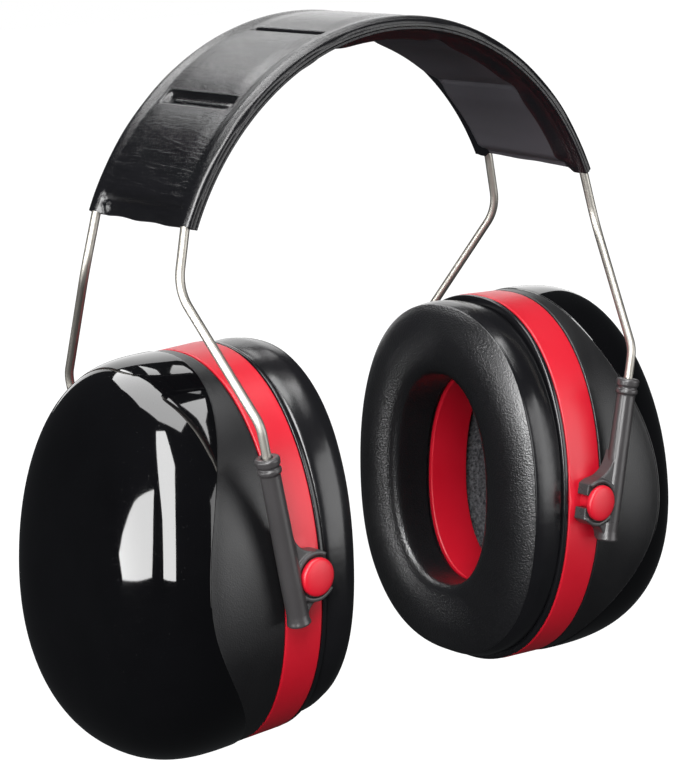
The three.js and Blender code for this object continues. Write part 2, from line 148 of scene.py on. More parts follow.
def pivot_of_right_cup():
    low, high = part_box("right_rear_pivot_stud")
    middle = (low + high) / 2
    return Matrix.Translation((middle.x, 0, middle.z))


def side_matrix(side, tilt, mirror=1):
    """From the frame of a right cup or arm, in millimetres, to the row frame, in metres."""
    turned = Matrix.Rotation(math.pi, 4, "Z") if side == "left" else Matrix.Identity(4)
    in_place = pivot_of_right_cup() @ Matrix.Rotation(tilt, 4, "Y")
    return turned @ in_place @ Matrix.Diagonal((MM, MM * mirror, MM, 1))


def end_mirror(side, end):
    """The left side is the right side turned half round, so its front is at its own +Y."""
    return ENDS[end] * SIDES[side]


# ---- Mesh helpers ----


def smoothstep(low, high, value):
    share = np.clip((np.asarray(value, float) - low) / (high - low), 0, 1)
    return share * share * (3 - 2 * share)


def hump(value, middle, reach):
    """1 at the middle, falling off on both sides of it over about the reach."""
    return np.exp(-(((value - middle) / reach) ** 2))


def smooth_path(points, steps):
    """A curve through the points, with this many steps between each two."""
    points = np.array(points, float)
    ends = np.vstack([2 * points[0] - points[1], points, 2 * points[-1] - points[-2]])
    share = np.linspace(0, 1, steps, endpoint=False)[:, None]
    parts = []
    for a, b, c, d in zip(ends, ends[1:], ends[2:], ends[3:]):
        square = (2 * a - 5 * b + 4 * c - d) * share**2
        cube = (3 * b - a - 3 * c + d) * share**3
        parts.append(0.5 * (2 * b + (c - a) * share + square + cube))
    return np.vstack([*parts, points[-1:]])


def grid_faces(rows, columns, wrap_rows=False, wrap_columns=False):
    """Quads of a grid of points, and the row that each one starts at."""
    row, column = np.meshgrid(
        np.arange(rows if wrap_rows else rows - 1),
        np.arange(columns if wrap_columns else columns - 1),
        indexing="ij",
    )
    below, beside = (row + 1) % rows, (column + 1) % columns
    corners = [row * columns + column, row * columns + beside]
    corners += [below * columns + beside, below * columns + column]
    return np.stack(corners, -1).reshape(-1, 4), row.ravel()


def linked(name, data):
    """A new object in the scene."""
    item = bpy.data.objects.new(name, data)
    bpy.context.scene.collection.objects.link(item)
    return item


def make_piece(name, points, faces, materials, face_materials=None, place=None):
    """A closed mesh, in metres, with doubled points merged and its faces pointing out."""
    merge_distance, sliver = 1e-6, 1e-7
    mesh = bpy.data.meshes.new(name)
    mesh.from_pydata(np.asarray(points).reshape(-1, 3).tolist(), [], faces.tolist())
    for material in materials:
        mesh.materials.append(material)
    if face_materials is not None:
        mesh.polygons.foreach_set("material_index", np.asarray(face_materials, np.int32))
    if place is not None:
        attribute = mesh.attributes.new("place", "FLOAT_VECTOR", "POINT")
        attribute.data.foreach_set("vector", np.asarray(place, np.float32).ravel())
    shape = bmesh.new()
    shape.from_mesh(mesh)
    bmesh.ops.remove_doubles(shape, verts=shape.verts, dist=merge_distance)
    bmesh.ops.dissolve_degenerate(shape, edges=shape.edges, dist=sliver)
    bmesh.ops.recalc_face_normals(shape, faces=shape.faces)
    shape.to_mesh(mesh)
    shape.free()
    mesh.shade_smooth()
    return linked(name, mesh)


def in_frame(points, matrix):
    """Points in millimetres, in a cup's or an arm's own frame, as points of the row frame."""
    matrix = np.array(matrix)
    return np.asarray(points, float) @ matrix[:3, :3].T + matrix[:3, 3]


def ring_piece(name, rings, matrix, materials, row_materials=None, closed=False):
    """A skin over a stack of rings of points, such as a turned or an oval piece."""
    rings = np.asarray(rings, float)
    faces, row = grid_faces(len(rings), rings.shape[1], closed, True)
    face_materials = None if row_materials is None else np.asarray(row_materials)[row]
    return make_piece(name, in_frame(rings, matrix), faces, materials, face_materials)


def slab_piece(name, top, bottom, material, place):
    """A closed sheet between two grids of points of the same size."""
    rows, columns = top.shape[:2]
    faces, _ = grid_faces(rows, columns)
    count = rows * columns
    index = np.arange(count).reshape(rows, columns)
    edge = np.concatenate([index[0], index[1:, -1], index[-1, -2::-1], index[-2:0:-1, 0]])
    after = np.roll(edge, -1)
    sides = np.stack([edge, after, after + count, edge + count], -1)
    every = np.concatenate([faces, faces[:, ::-1] + count, sides])
    points = np.concatenate([top, bottom]) * MM
    return make_piece(name, points, every, [material], place=np.concatenate([place, place]))


def apply_modifiers(piece):
    graph = bpy.context.evaluated_depsgraph_get()
    mesh = bpy.data.meshes.new_from_object(piece.evaluated_get(graph))
    piece.modifiers.clear()
    piece.data = mesh


def boolean(piece, tool, operation):
    change = piece.modifiers.new(operation, "BOOLEAN")
    change.operation = operation
    change.solver = "EXACT"
    change.object = tool
    apply_modifiers(piece)
    bpy.data.objects.remove(tool)


# ---- Material helpers ----


def add(tree, kind, inputs=None, **settings):
    """A shader node with its settings, and its inputs as values or as links."""
    node = tree.nodes.new("ShaderNode" + kind)
    for key, value in settings.items():
        setattr(node, key, value)
    for key, value in (inputs or {}).items():
        if isinstance(value, bpy.types.NodeSocket):
            tree.links.new(value, node.inputs[key])
        else:
            node.inputs[key].default_value = value
    return node


def new_material(name, **inputs):
    """A Principled material, and its tree and shader. Inputs are by socket name."""
    material = bpy.data.materials.new(name)
    material.use_nodes = True
    shader = material.node_tree.nodes["Principled BSDF"]
    for key, value in inputs.items():
        shader.inputs[key.replace("_", " ")].default_value = value
    return material, material.node_tree, shader


def texture(tree, kind, coordinates, scale, **inputs):
    """A noise or Voronoi texture's first output at a scale in cells per metre."""
    inputs = {"Vector": coordinates, "Scale": scale, **inputs}
    return add(tree, "Tex" + kind, inputs).outputs[0]


def cloudy(tree, coordinates, scale, detail):
    return texture(tree, "Noise", coordinates, scale, Detail=detail)


def maths(tree, operation, *values):
    return add(tree, "Math", dict(enumerate(values)), operation=operation).outputs[0]


def object_place(tree):
    return add(tree, "TexCoord").outputs["Object"]


def sheet_place(tree):
    """The place along and across a sheet or a wire, which its mesh carries."""
    return add(tree, "Attribute", attribute_name="place").outputs["Vector"]


def stretched(tree, coordinates, scale):
    mapping = add(tree, "Mapping", {"Vector": coordinates, "Scale": scale})
    return mapping.outputs[0]


def between(tree, factor, low, high, start=0.0, end=1.0):
    """A number that goes from low to high as the factor goes from start to end."""
    inputs = {"Value": factor, "From Min": start, "From Max": end}
    inputs.update({"To Min": low, "To Max": high})
    return add(tree, "MapRange", inputs).outputs["Result"]


def drifting(tree, cloud, low, high):
    """A number that drifts from low to high over the usual range of a noise."""
    return between(tree, cloud, low, high, 0.3, 0.7)


def mixed_colour(tree, factor, first, second):
    """From one colour to another, each a triple or another colour's socket."""
    inputs = {"Factor": factor}
    for key, colour in (("A", first), ("B", second)):
        inputs[key] = (*colour, 1) if isinstance(colour, tuple) else colour
    return add(tree, "Mix", inputs, data_type="RGBA").outputs["Result"]


def bump(tree, height, distance, under=None):
    """A bump of this height in metres, over another one where that is given."""
    inputs = {"Height": height, "Distance": distance}
    if under is not None:
        inputs["Normal"] = under
    return add(tree, "Bump", inputs).outputs["Normal"]


def wire_up(tree, shader, colour, rough=None, normal=None):
    for name, socket in (("Base Color", colour), ("Roughness", rough), ("Normal", normal)):
        if socket is not None:
            tree.links.new(socket, shader.inputs[name])


# ---- Materials ----


def gloss_black_plastic():
    """Polished plastic, with a few specks of dust that catch the light."""
    material, tree, shader = new_material("gloss_black_plastic", Specular_IOR_Level=0.55)
    place = object_place(tree)
    cloud = cloudy(tree, place, 45, 3.0)
    wave = cloudy(tree, place, 90, 1.0)
    dust = cloudy(tree, place, 2600, 2.0)
    specks = between(tree, dust, 0, 0.25, 0.71, 0.76)
    rough = maths(tree, "ADD", drifting(tree, cloud, 0.03, 0.055), specks)
    colour = mixed_colour(tree, cloud, (0.0008, 0.0008, 0.001), (0.002, 0.002, 0.0024))
    wire_up(tree, shader, colour, rough, bump(tree, wave, 0.00003))
    return material


def clouded(name, specular, colours, roughness, cloud, grain, grain_depth):
    """A finish whose colour and roughness drift with a noise, over a finer grain."""
    material, tree, shader = new_material(name, Specular_IOR_Level=specular)
    place = object_place(tree)
    drift = cloudy(tree, place, *cloud)
    colour = mixed_colour(tree, drift, *colours)
    fine = bump(tree, cloudy(tree, place, *grain), grain_depth)
    wire_up(tree, shader, colour, drifting(tree, drift, *roughness), fine)
    return material


def matte_black_plastic(name, base, roughness, grain_depth):
    """Moulded plastic with the fine even grain of an etched mould."""
    darker = tuple(0.8 * channel for channel in base)
    span = (roughness - 0.05, roughness + 0.05)
    return clouded(name, 0.5, (darker, base), span, (60, 4.0), (2600, 2.0), grain_depth)


def red_plastic():
    colours = ((0.38, 0.0035, 0.012), (0.45, 0.0045, 0.017))
    grain = (3000, 2.0)
    return clouded("red_plastic", 0.55, colours, (0.36, 0.44), (70, 4.0), grain, 0.000008)


def spring_steel():
    """Drawn wire: fine lines along it, from the place along and round the wire."""
    material, tree, shader = new_material("spring_steel", Metallic=1.0)
    place = sheet_place(tree)
    lines = cloudy(tree, stretched(tree, place, (40, 900, 900)), 1, 3.0)
    cloud = cloudy(tree, stretched(tree, place, (120, 300, 300)), 1, 2.0)
    colour = mixed_colour(tree, cloud, (0.34, 0.325, 0.295), (0.47, 0.45, 0.41))
    rough = drifting(tree, lines, 0.36, 0.50)
    wire_up(tree, shader, colour, rough, bump(tree, lines, 0.00001))
    return material


def plain_steel():
    material, tree, shader = new_material("swaged_steel", Metallic=1.0)
    cloud = cloudy(tree, object_place(tree), 600, 3.0)
    colour = mixed_colour(tree, cloud, (0.50, 0.49, 0.46), (0.62, 0.60, 0.57))
    wire_up(tree, shader, colour, between(tree, cloud, 0.25, 0.45))
    return material


def sleeve_vinyl():
    """Black foil over the pad: wavy wrinkles across the band, stronger towards its ends."""
    material, tree, shader = new_material("sleeve_vinyl", Specular_IOR_Level=0.55)
    place = sheet_place(tree)
    along, across, down_side = add(tree, "SeparateXYZ", {"Vector": place}).outputs
    bend = cloudy(tree, stretched(tree, place, (60, 60, 60)), 1, 2.0)
    moved = maths(tree, "ADD", along, maths(tree, "MULTIPLY", bend, 0.006))
    wavy = add(tree, "CombineXYZ", {"X": moved, "Y": across, "Z": down_side}).outputs[0]
    waves = cloudy(tree, stretched(tree, wavy, (760, 60, 1)), 1, 1.5)
    from_line = maths(tree, "ABSOLUTE", maths(tree, "SUBTRACT", waves, 0.5))
    wrinkles = between(tree, from_line, 0, 1, 0.0, 0.08)
    towards_end = between(tree, down_side, 0.1, 0.55, 0.1, 0.6)
    on_pad = between(tree, maths(tree, "ABSOLUTE", across), 1, 0.06, 0.0175, 0.0195)
    height = maths(tree, "MULTIPLY", wrinkles, maths(tree, "MULTIPLY", towards_end, on_pad))
    grain = bump(tree, texture(tree, "Voronoi", place, 2400), 0.000015)
    cloud = cloudy(tree, place, 90, 3.0)
    colour = mixed_colour(tree, cloud, (0.002, 0.002, 0.0025), (0.004, 0.004, 0.0048))
    rough = drifting(tree, cloud, 0.20, 0.23)
    wire_up(tree, shader, colour, rough, bump(tree, height, 0.00005, grain))
    return material


def lining_vinyl():
    """Matte foil under the pad, and the cover's glossy foil on the strips beside it."""
    material, tree, shader = new_material("lining_vinyl", Specular_IOR_Level=0.5)
    place = sheet_place(tree)
    across = add(tree, "SeparateXYZ", {"Vector": place}).outputs[1]
    strip = between(tree, maths(tree, "ABSOLUTE", across), 0, 1, 0.0163, 0.0168)
    cloud = cloudy(tree, place, 80, 4.0)
    grain = texture(tree, "Voronoi", place, 1700)
    matte = mixed_colour(tree, cloud, (0.030, 0.029, 0.034), (0.042, 0.040, 0.047))
    colour = mixed_colour(tree, strip, matte, (0.004, 0.004, 0.005))
    rough = between(tree, strip, 0.55, 0.2)
    wire_up(tree, shader, colour, rough, bump(tree, grain, 0.00003))
    return material


def cushion_leather():
    """The soft front foil of a cushion, with a pebbled leather grain."""
    material, tree, shader = new_material("cushion_leather", Specular_IOR_Level=0.85)
    place = object_place(tree)
    cloud = cloudy(tree, place, 55, 4.0)
    pebble = texture(tree, "Voronoi", place, 1700, Randomness=0.9)
    pores = cloudy(tree, place, 2700, 2.0)
    colour = mixed_colour(tree, pebble, (0.007, 0.007, 0.008), (0.003, 0.003, 0.0036))
    grain = bump(tree, pores, 0.00006, bump(tree, pebble, 0.00008))
    wire_up(tree, shader, colour, drifting(tree, cloud, 0.30, 0.36), grain)
    return material


def cushion_back_skin():
    """The smooth foil round the side of a cushion, with faint creases across it."""
    colours = ((0.003, 0.003, 0.0036), (0.006, 0.006, 0.007))
    creases = (130, 2.0)
    return clouded("cushion_back_skin", 0.55, colours, (0.17, 0.26), (40, 3.0), creases, 0.00012)


def open_foam(name, dark, light, cells, depth):
    """Cut foam, with open cells of two tones."""
    material, tree, shader = new_material(name, Specular_IOR_Level=0.2, Roughness=0.95)
    place = object_place(tree)
    cell = texture(tree, "Voronoi", place, cells)
    speck = cloudy(tree, place, cells * 1.7, 3.0)
    colour = mixed_colour(tree, between(tree, speck, 0, 1, 0.35, 0.65), dark, light)
    wire_up(tree, shader, colour, normal=bump(tree, cell, depth))
    return material


MATERIALS = {
    "gloss": gloss_black_plastic(),
    "matte": matte_black_plastic("matte_black_plastic", (0.005, 0.005, 0.0056), 0.38, 0.00006),
    "inner": matte_black_plastic("inner_black_plastic", (0.022, 0.022, 0.023), 0.6, 0.00002),
    "arm": matte_black_plastic("arm_plastic", (0.034, 0.032, 0.033), 0.31, 0.00002),
    "red": red_plastic(),
    "wire": spring_steel(),
    "steel": plain_steel(),
    "sleeve": sleeve_vinyl(),
    "lining": lining_vinyl(),
    "leather": cushion_leather(),
    "skin": cushion_back_skin(),
    "pale_foam": open_foam("pale_foam", (0.50, 0.46, 0.38), (0.68, 0.64, 0.56), 900, 0.0003),
    "grey_foam": open_foam("grey_foam", (0.03, 0.03, 0.033), (0.11, 0.11, 0.117), 700, 0.0005),
}


# ---- Ovals of the cups, in the cup's own frame: +X outboard, Y across, Z up ----

COLUMN_ANGLES = np.linspace(0, 2 * math.pi, CUP_COLUMNS, endpoint=False)


def oval(half_width, half_height, exponent, taper, lift=0.0):
    """Across and up of an oval's points, narrower towards the top."""
    cosine, sine = np.cos(COLUMN_ANGLES), np.sin(COLUMN_ANGLES)
    power = 2 / exponent
    up = half_height * np.sign(sine) * np.abs(sine) ** power
    across = half_width * np.sign(cosine) * np.abs(cosine) ** power
    return across * (1 + taper * up / BELT_HALF_HEIGHT), up + lift


def belt_ring(out, half_width, half_height):
    across, up = oval(half_width, half_height, BELT_EXPONENT, BELT_TAPER)
    return np.stack([np.broadcast_to(out, across.shape), across, up], -1)


def inset_ring(out, inset):
    return belt_ring(out, BELT_HALF_WIDTH - inset, BELT_HALF_HEIGHT - inset)


def curve_by(start, control, end, steps):
    """A curve from start to end, pulled towards the control point."""
    share = np.linspace(0, 1, steps + 1)[:, None]
    start, control, end = (np.array(p, float) for p in (start, control, end))
    return (1 - share) ** 2 * start + 2 * share * (1 - share) * control + share**2 * end


def rounded(corner, before, after, radius, steps=4):
    """Points of a rounded corner between two neighbours, as [out, inset] pairs."""
    corner, before, after = (np.array(p, float) for p in (corner, before, after))
    start = corner + radius * (before - corner) / np.linalg.norm(before - corner)
    end = corner + radius * (after - corner) / np.linalg.norm(after - corner)
    return curve_by(start, corner, end, steps)


def rounded_outline(corners, radii):
    """A closed outline with each corner rounded by its own radius."""
    count = len(corners)
    parts = [
        rounded(corners[i], corners[i - 1], corners[(i + 1) % count], radii[i])
        for i in range(count)
    ]
    return np.vstack(parts)


def ear_rings(outline, start, end, ear_half_height):
    """Rings of [out, inset] pairs that turn from the belt's oval into the ear opening's."""
    rings = []
    for out, inset in outline:
        share = np.clip((inset - start) / (end - start), 0, 1)
        half_height = BELT_HALF_HEIGHT - inset
        half_height += share * (ear_half_height - (BELT_HALF_HEIGHT - end))
        rings.append(belt_ring(out, BELT_HALF_WIDTH - inset, half_height))
    return np.array(rings)


def cup_piece(side, name, rings, finishes, mirror=1, **more):
    """A skin over rings in the cup's own frame, with its materials by their short names."""
    matrix = side_matrix(side, CUP_TILT, mirror)
    materials = [MATERIALS[finish] for finish in finishes]
    return ring_piece(f"{side}_{name}", rings, matrix, materials, **more)


# ---- Outer shell ----

DOME_SAMPLES = np.linspace(0, math.pi / 2, 600)


def dome_depth_and_round(turn):
    """How deep and how wide the dome is, as shares, at a turn from its rim to its pole."""
    power = 2 / SHELL_ROUNDNESS
    return np.sin(turn) ** power, np.maximum(np.cos(turn), 0) ** power


def dome_path_lengths():
    depth, wide = dome_depth_and_round(DOME_SAMPLES)
    out = depth * (SHELL_DEPTH - BELT_HALF_DEPTH)
    middle = (BELT_HALF_WIDTH + BELT_HALF_HEIGHT) / 2
    steps = np.hypot(np.diff(out), np.diff(wide * middle))
    length = np.concatenate([[0], np.cumsum(steps)])
    return length / length[-1]


DOME_LENGTHS = dome_path_lengths()


def turn_at(share):
    """The dome's turn at a share of the way over it, from the rim to the pole."""
    return np.interp(share, DOME_LENGTHS, DOME_SAMPLES)


def share_at_depth(depth):
    turn = np.arcsin(np.asarray(depth, float) ** (SHELL_ROUNDNESS / 2))
    return np.interp(turn, DOME_SAMPLES, DOME_LENGTHS)


def dome_ring(share, inset):
    """A ring of the dome; the share may differ from column to column."""
    share = np.broadcast_to(share, COLUMN_ANGLES.shape)
    depth, wide = dome_depth_and_round(turn_at(share))
    out = BELT_HALF_DEPTH + RIM_GAP + depth * (SHELL_DEPTH - RIM_GAP - inset - BELT_HALF_DEPTH)
    across, up = oval(
        (BELT_HALF_WIDTH - inset) * (1 + SHELL_FLARE_WIDTH * depth) * wide,
        (BELT_HALF_HEIGHT - inset) * (1 + SHELL_FLARE_HEIGHT * depth) * wide,
        BELT_EXPONENT + (SHELL_EXPONENT - BELT_EXPONENT) * depth,
        BELT_TAPER + (SHELL_TAPER - BELT_TAPER) * depth,
        SHELL_LIFT * depth,
    )
    leaning = out * (1 + SHELL_LEAN * depth * up / BELT_HALF_HEIGHT)
    return np.stack([leaning, across, up], -1)


def gloss_edge_depth():
    """How far over the dome the matte band reaches, widest at the sides of the cup."""
    least, more, widest = 0.09, 0.51, 93
    turn = (COLUMN_ANGLES - math.pi / 2 + math.pi) % (2 * math.pi) - math.pi
    from_top = np.degrees(np.abs(turn))
    return least + more * hump(from_top, widest, np.where(from_top < widest, 45, 36))


def outward_normals(rings):
    along = np.gradient(rings, axis=0)
    around = np.roll(rings, -1, 1) - np.roll(rings, 1, 1)
    normal = np.cross(along, around)
    normal /= np.linalg.norm(normal, axis=-1, keepdims=True) + 1e-12
    centre = rings.reshape(-1, 3).mean(0)
    facing = np.sign(np.sum(normal * (rings - centre), -1, keepdims=True))
    return normal * facing


def rounded_rim(corner, edge_round):
    """Rings round the shell's rim that round off its outer edge."""
    rings = []
    for angle in np.radians((0, 22.5, 45, 67.5)):
        ring = dome_ring(corner, edge_round * (1 - math.sin(angle)))
        ring[:, 0] = BELT_HALF_DEPTH + RIM_GAP + edge_round * (1 - math.cos(angle))
        rings.append(ring)
    return rings


def outer_shell(side):
    """The domed cup, with a matte band beside the belt and gloss over the rest."""
    edge = share_at_depth(gloss_edge_depth())
    step_half, step_height = 0.0035, 0.28  # the gloss stands up from the matte band
    corner, edge_round = 0.006, 0.5
    matte_rows = [corner + (edge - step_half - corner) * v for v in np.linspace(0, 1, 15)]
    step_rows = [edge + step_half * v for v in (-0.6, -0.2, 0.2, 0.6)]
    start = edge + step_half
    gloss_rows = [start + (1 - start) * v for v in np.linspace(0, 1, 46)]
    shares = [*matte_rows, *step_rows, *gloss_rows]
    outside = np.array([dome_ring(share, 0) for share in shares])
    lift = smoothstep(-0.8, 0.8, (np.array(shares) - edge) / step_half)[..., None]
    outside = outside + outward_normals(outside) * lift * step_height
    outside[-1] = outside[-1].mean(0)
    bevel = rounded_rim(corner, edge_round)
    inside = [dome_ring(v, SHELL_WALL) for v in np.linspace(1, corner, 22)]
    inside.append(inset_ring(BELT_HALF_DEPTH + RIM_GAP, SHELL_WALL))
    rings = np.concatenate([inside, bevel, outside])
    matte, gloss = 0, 1
    rows = [matte] * (len(inside) + len(bevel) + len(matte_rows) + 1)
    rows += [gloss] * (len(rings) - len(rows))
    piece = cup_piece(side, "shell", rings, ["matte", "gloss"], row_materials=rows)
    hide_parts(f"{side}_outer_shell")
    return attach(piece, f"{side}_cup")


# ---- Belt, with its sleeve round the ear ----


def belt(side):
    """The red ring: a strip outside, a web for the cushion's plate, a sleeve round the ear."""
    web, sleeve_top, sleeve_wall, ear_gap = -4.6, 8.5, 1.8, 0.2
    front, back = -BELT_HALF_DEPTH, BELT_HALF_DEPTH
    sleeve = BELT_HALF_WIDTH - EAR_HALF_WIDTH - ear_gap
    outline = rounded_outline(
        [
            (front, 0),
            (back, 0),
            (back, BELT_WALL),
            (web, BELT_WALL),
            (web, sleeve - sleeve_wall),
            (sleeve_top, sleeve - sleeve_wall),
            (sleeve_top, sleeve),
            (front, sleeve),
        ],
        [0.55, 0.55, 0.3, 0.5, 0.5, 0.5, 0.5, 0.6],
    )
    strip = np.linspace(outline[4], outline[5], 24)[1:-1]  # rings enough for the bosses
    outline = np.concatenate([outline[:5], strip, outline[5:]])
    rings = ear_rings(outline, BELT_WALL, sleeve, EAR_HALF_HEIGHT + ear_gap)
    piece = cup_piece(side, "belt", raise_bosses(rings), ["red"], closed=True)
    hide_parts(f"{side}_base_ring")
    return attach(piece, f"{side}_cup")


def raise_bosses(rings):
    """A low round boss on the belt under each clip."""
    boss_radius, boss_height = 6.4, 0.75
    from_pivot = np.hypot(rings[..., 0], rings[..., 2])
    on_outside = np.abs(rings[..., 1]) > BELT_HALF_WIDTH - BELT_WALL
    height = boss_height * (1 - smoothstep(boss_radius - 1, boss_radius + 0.4, from_pivot))
    rings[..., 1] += np.sign(rings[..., 1]) * height * on_outside
    return rings


# ---- Cushion, its plate and its filling ----


def cushion_ring(out, share, inset=0.0):
    """A ring of the cushion: share 0 is the ear opening and 1 the outer outline."""
    depth = np.clip((-BELT_HALF_DEPTH - out) / (CUSHION_DEPTH - BELT_HALF_DEPTH), 0, 1.05)
    scale = np.array([CUSHION_WIDTH_SCALE, CUSHION_HEIGHT_SCALE])
    outer = np.array([BELT_HALF_WIDTH, BELT_HALF_HEIGHT]) * scale - inset
    inner = np.array([EAR_HALF_WIDTH, EAR_HALF_HEIGHT]) + inset
    half_width, half_height = inner + (outer - inner) * share
    exponent = BELT_EXPONENT + (CUSHION_EXPONENT - BELT_EXPONENT) * depth
    across, up = oval(half_width, half_height, exponent, BELT_TAPER, CUSHION_LIFT * depth)
    return np.stack([out - math.tan(CUP_TILT) * depth * up, across, up], -1)


# The cushion's profile as [out, share] pairs, from the ear opening (0) to the outline (1).
CUSHION_FRONT = [
    (-8.4, 0.0), (-13.2, 0.0), (-18.6, 0.0), (-21.0, 0.03), (-22.4, 0.12), (-23.05, 0.25),
    (-23.2, 0.39), (-22.85, 0.56), (-22.0, 0.71), (-20.8, 0.84), (-19.7, 0.92), (-19.2, 0.95),
]
CUSHION_BACK = [
    (-18.8, 0.950), (-17.8, 0.968), (-15.6, 0.995), (-13.3, 1.0),
    (-11.2, 0.995), (-9.6, 0.982), (-8.8, 0.962), (-8.4, 0.93),
]


def cushion(side):
    """The foil of an ear cushion: pebbled in front, smooth round the side."""
    front = smooth_path(CUSHION_FRONT, 5)
    back = smooth_path(CUSHION_BACK, 5)
    closing = np.linspace(back[-1], front[0], 10)[1:-1]
    profile = np.concatenate([front, back, closing])
    rings = np.array([cushion_ring(out, share) for out, share in profile])
    rings = soften(rings, len(front))
    rows = [0] * (len(front) - 1) + [1] * (len(profile) - len(front) + 1)
    finishes = ["leather", "skin"]
    piece = cup_piece(side, "cushion", rings, finishes, row_materials=rows, closed=True)
    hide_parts(f"{side}_cushion_cover")
    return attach(piece, f"{side}_cup")


def soften(rings, front_rows):
    """The slight unevenness of a filled foil, in and out along the depth of the cushion."""
    height, scale = 0.22, 0.06
    for ring in rings[:front_rows]:
        for point in ring:
            wave = noise.noise(Vector(point) * scale)
            point[0] += height * wave * smoothstep(-14, -22, point[0])
    return rings


def cushion_filling(side):
    """The foam under the foil, a little inside it and clear of the plate."""
    front = smooth_path(CUSHION_FRONT, 3)
    back = smooth_path(CUSHION_BACK, 3)
    profile = np.concatenate([front, back])
    profile[:, 0] = np.clip(profile[:, 0] + 1.1, 1 - CUSHION_DEPTH, -8.9)
    rings = np.array([cushion_ring(out, share, inset=1.4) for out, share in profile])
    piece = cup_piece(side, "cushion_filling", rings, ["pale_foam"], closed=True)
    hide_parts(f"{side}_cushion_foam")
    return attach(piece, f"{side}_cup")


def plate_lip(side):
    """The cushion's stiff plate: a rounded lip on the belt, and a flat web round the ear."""
    back, lip_front, web_front = -BELT_HALF_DEPTH - RIM_GAP, -8.35, -7.9
    ear_gap = 1
    ear = BELT_HALF_WIDTH - EAR_HALF_WIDTH - ear_gap
    outline = rounded_outline(
        [
            (back, ear),
            (web_front, ear),
            (web_front, 3.4),
            (lip_front, 3.0),
            (lip_front, 0.1),
            (back, 0.1),
        ],
        [0.3, 0.3, 0.2, 0.3, 0.8, 0.4],
    )
    rings = ear_rings(outline, 0, ear, EAR_HALF_HEIGHT + ear_gap)
    piece = cup_piece(side, "plate_lip", rings, ["skin"], closed=True)
    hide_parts(f"{side}_cushion_plate")
    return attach(piece, f"{side}_cup")


def foam_insert(side):
    """The foam in the bottom of the cup, hollowed for the ear."""
    rim, bottom, clearance = 9.2, 30, 7.6
    lump_height, lump_scale = 0.25, 0.35
    hollow = smooth_path(
        [
            (bottom, 0, 0),
            (bottom, 10, 16),
            (bottom - 0.6, 18, 28),
            (bottom - 4, 22.5, 34),
            (rim + 8, 24, 36),
            (rim + 2, 25, 37),
            (rim, 27, 39),
        ],
        5,
    )
    rings = [belt_ring(out, wide, high) for out, wide, high in hollow]
    first = share_at_depth(0.08)
    outer = [dome_ring(v, clearance) for v in np.linspace(first, 1, 24)]
    outer[0][:, 0] = rim
    rings = np.array([*rings, *outer])
    for ring in rings:
        for point in ring:
            point += lump_height * np.array(noise.noise_vector(Vector(point) * lump_scale))
    rings[0] = rings[0].mean(0)
    rings[-1] = rings[-1].mean(0)
    piece = cup_piece(side, "foam_insert", rings, ["grey_foam"])
    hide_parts(f"{side}_foam_liner")
    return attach(piece, f"{side}_cup")


# ---- Pivot studs and arms, in the arm's own frame: origin at the pivot, Z along the tube ----


def turned(profile, axis, segments):
    """Rings of points round the Y or the Z axis, from [radius, along] pairs."""
    angle = np.linspace(0, 2 * math.pi, segments, endpoint=False)
    rings = []
    for radius, along in profile:
        cosine, sine = radius * np.cos(angle), radius * np.sin(angle)
        level = np.full(segments, float(along))
        rings.append(np.stack([cosine, level, sine] if axis == "Y" else [cosine, sine, level], -1))
    return np.array(rings)


def stud(side, end):
    """A button on a neck, with a peg through the belt and a foot inside it."""
    inside = BELT_HALF_WIDTH - BELT_WALL
    foot, flange = inside - 1.8, inside - 0.5
    profile = [
        (0, foot),
        (2.4, foot),
        (2.4, flange),
        (1.6, flange),
        (1.6, BELT_HALF_WIDTH + 0.5),
        (STUD_NECK_RADIUS, BELT_HALF_WIDTH + 0.7),
        (STUD_NECK_RADIUS, STUD_HEAD_BOTTOM),
    ]
    profile += [(radius, STUD_HEAD_BOTTOM + above) for radius, above in STUD_HEAD]
    rings = turned(profile, "Y", 72)
    mirror = end_mirror(side, end)
    crease, slope = 1.0, 0.045  # the face slopes back beyond a faint crease
    beyond = np.maximum(-mirror * rings[..., 0] - crease, 0)
    rings[..., 1] -= slope * beyond * (rings[..., 1] > STUD_HEAD_BOTTOM + 1)
    piece = cup_piece(side, f"{end}_button", rings, ["red"], mirror)
    piece.data.set_sharp_from_angle(angle=math.radians(50))
    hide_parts(f"{side}_{end}_pivot_stud")
    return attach(piece, f"{side}_cup")


def on_circle(radius, degrees):
    angle = math.radians(degrees)
    return radius * math.cos(angle), radius * math.sin(angle)


def arc(radius, start, end, steps):
    """Points of an arc round the origin, with angles in degrees."""
    return [on_circle(radius, angle) for angle in np.linspace(start, end, steps + 1)]


def clip_outline():
    """The clip in X and Z: a ring cut off flat at its slot, and a web that joins the tube."""
    bore = 180 - math.degrees(math.asin(CLIP_SLOT_HALF / CLIP_BORE))
    ring = math.degrees(math.acos(CLIP_CUT_X / CLIP_RADIUS))
    web_below, web_above = -80, 100  # where the webs leave the ring, in degrees
    tube_side = ARM_TUBE_X - 2.3
    pull_x = tube_side - 0.6
    low, high = (tube_side, ARM_BOTTOM + 0.6), (tube_side, 15.5)
    lower_web = curve_by(on_circle(CLIP_RADIUS, web_below), (pull_x, low[1] + 3), low, 8)
    upper_web = curve_by(high, (pull_x, 8.5), on_circle(CLIP_RADIUS, web_above), 8)
    return [
        *arc(CLIP_BORE, bore, -bore, 24),
        (CLIP_CUT_X, -CLIP_SLOT_HALF),
        *arc(CLIP_RADIUS, -ring, web_below, 16),
        *lower_web[1:],
        (ARM_TUBE_X, low[1]),
        (ARM_TUBE_X, high[1]),
        *upper_web,
        *arc(CLIP_RADIUS, web_above, ring, 16)[1:],
        (CLIP_CUT_X, CLIP_SLOT_HALF),
    ]


